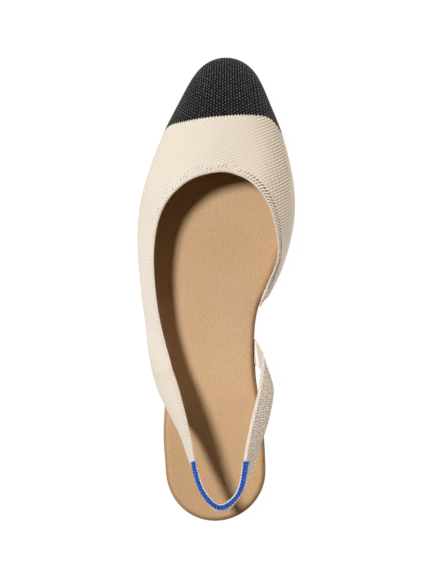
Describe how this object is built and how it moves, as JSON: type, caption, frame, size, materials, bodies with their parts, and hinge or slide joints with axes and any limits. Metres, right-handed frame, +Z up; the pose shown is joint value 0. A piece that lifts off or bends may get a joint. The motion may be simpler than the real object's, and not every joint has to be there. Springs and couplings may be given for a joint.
{
  "type": "sling back flat",
  "caption": "Pointed sling back flat for the left foot with a knitted upper, open inner side and one-piece heel strap.",
  "frame": {"origin": "on the floor under the middle of the shoe's box", "axes": "+Y to the toe, +X to the inner side of the foot, +Z up"},
  "size_m": [0.0872, 0.256, 0.0607],
  "materials": {
    "outsole_rubber": "matt moulded",
    "footbed_leather": "smooth, fine grain",
    "knit": "close knit, matt, black at the toe",
    "blue_thread": "thick stitching"
  },
  "bodies": {
    "root": {"outsole": "outsole_rubber", "footbed": "footbed_leather", "upper": "knit", "heel_trim": "blue_thread"}
  },
  "joints": []
}
